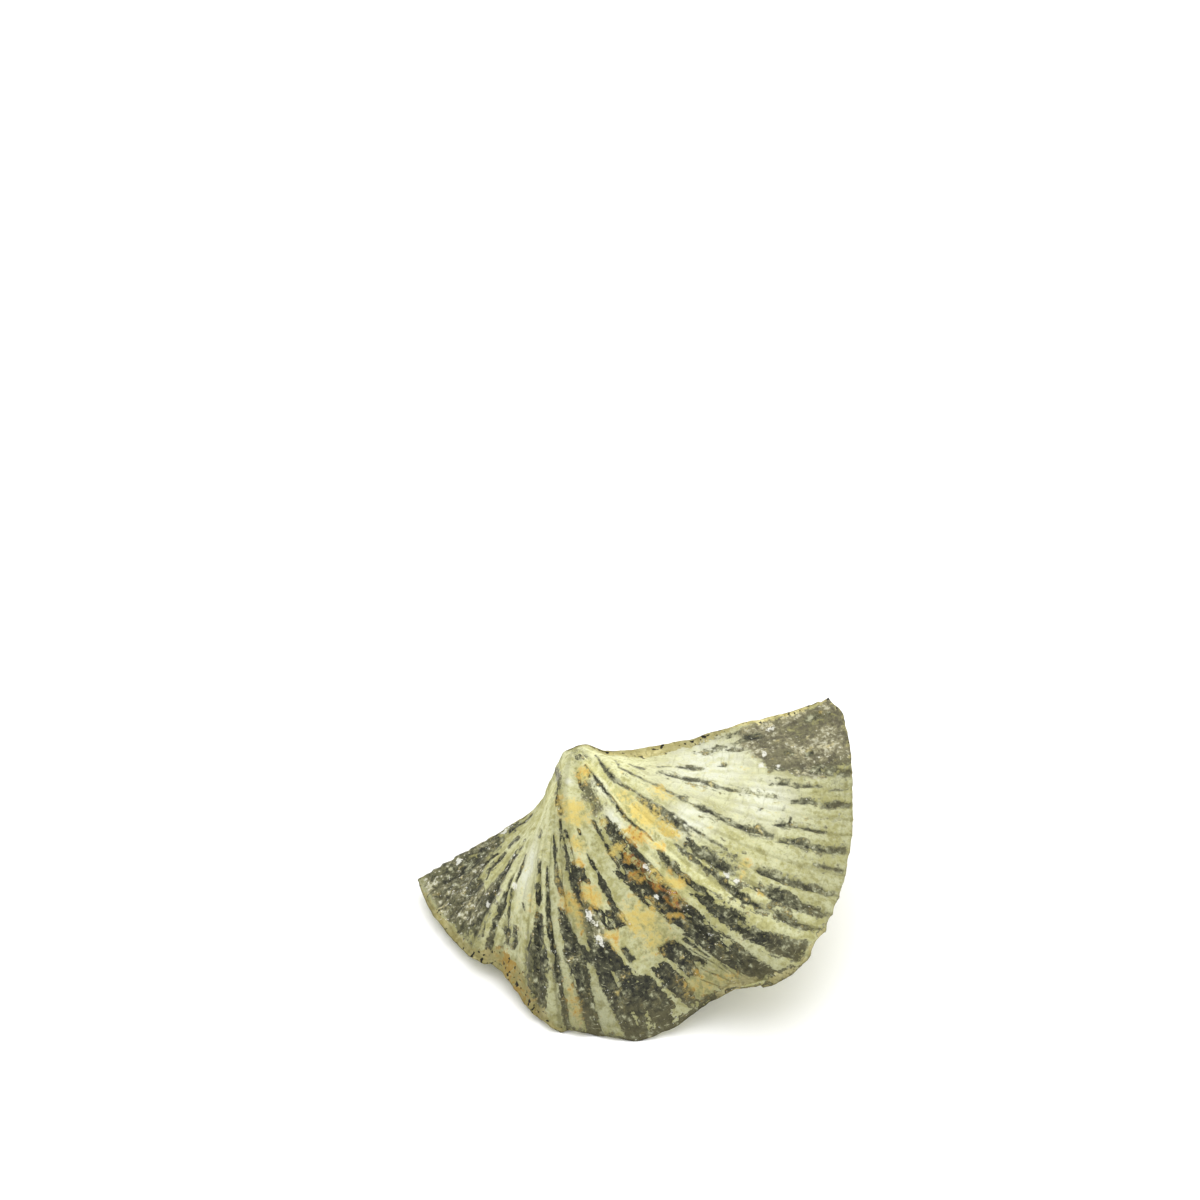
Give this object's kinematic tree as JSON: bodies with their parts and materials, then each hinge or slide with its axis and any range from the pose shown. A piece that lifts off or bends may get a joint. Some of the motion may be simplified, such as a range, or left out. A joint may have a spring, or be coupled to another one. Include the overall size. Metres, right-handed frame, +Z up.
{
  "type": "brachiopod fossil",
  "caption": "Winged ribbed brachiopod fossil with both valves closed, a high beak and a smooth median trough.",
  "frame": {"origin": "on the ground under the middle of the fossil's box, lying as it rests", "axes": "+X along the hinge line towards the raised right ear, +Y from the front margin towards the hinge, +Z up"},
  "size_m": [0.0394, 0.026, 0.0164],
  "materials": {
    "fossil_stone": "worn matt fossil shell, cream ribs with dark grey grooves and yellow iron stains"
  },
  "bodies": {
    "root": {"brachiopod_fossil": "fossil_stone"}
  },
  "joints": []
}
